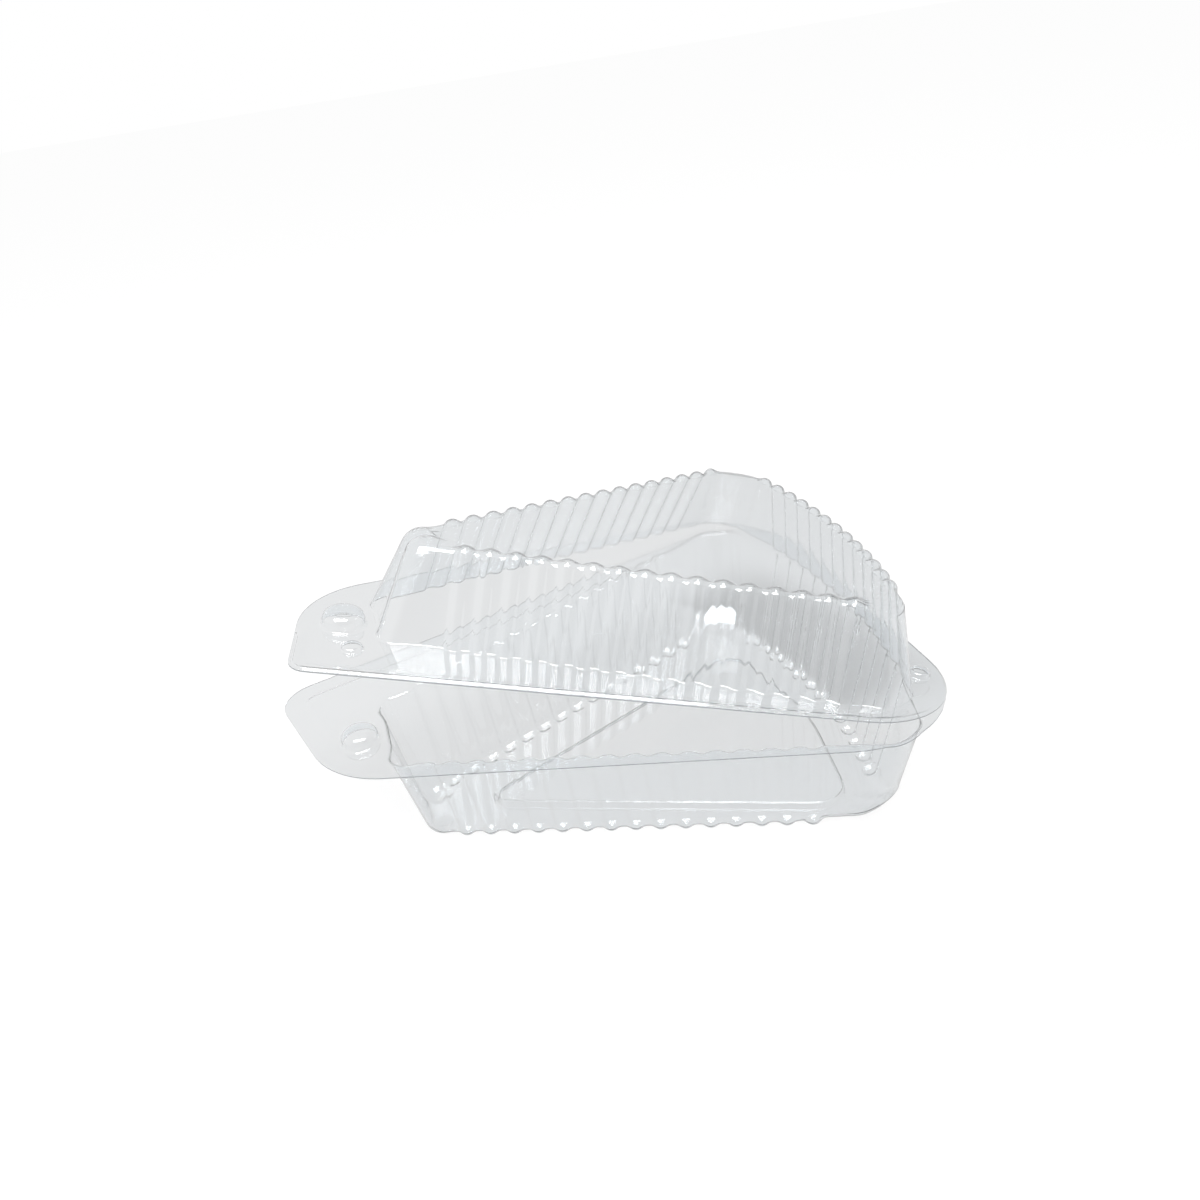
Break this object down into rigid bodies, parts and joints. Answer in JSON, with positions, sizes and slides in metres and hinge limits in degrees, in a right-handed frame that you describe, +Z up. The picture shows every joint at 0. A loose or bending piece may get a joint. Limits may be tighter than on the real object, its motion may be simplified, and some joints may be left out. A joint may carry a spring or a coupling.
{
  "type": "plastic clamshell pack",
  "caption": "Wedge-shaped clear plastic clamshell pack: ribbed tray and ribbed lid joined by a fold along the wide end, with a snap knob on the tab.",
  "frame": {"origin": "on the table under the middle of the pack's length and width", "axes": "+X from the wedge's point to the fold, +Y across, +Z up"},
  "size_m": [0.1752, 0.1313, 0.0906],
  "materials": {
    "clear_tray": "gloss",
    "clear_lid": "gloss"
  },
  "bodies": {
    "tray": {"tray": "clear_tray"},
    "lid": {"lid": "clear_lid"}
  },
  "joints": [
    {"name": "lid_fold", "type": "hinge", "parent": "tray", "child": "lid", "pos_m": [0.0875, 0, 0.03368], "axis": [0, 1, 0], "range_deg": [-13.8, 166.2], "stiffness_Nm_per_rad": 0.03, "springref_deg": 16.62}
  ]
}
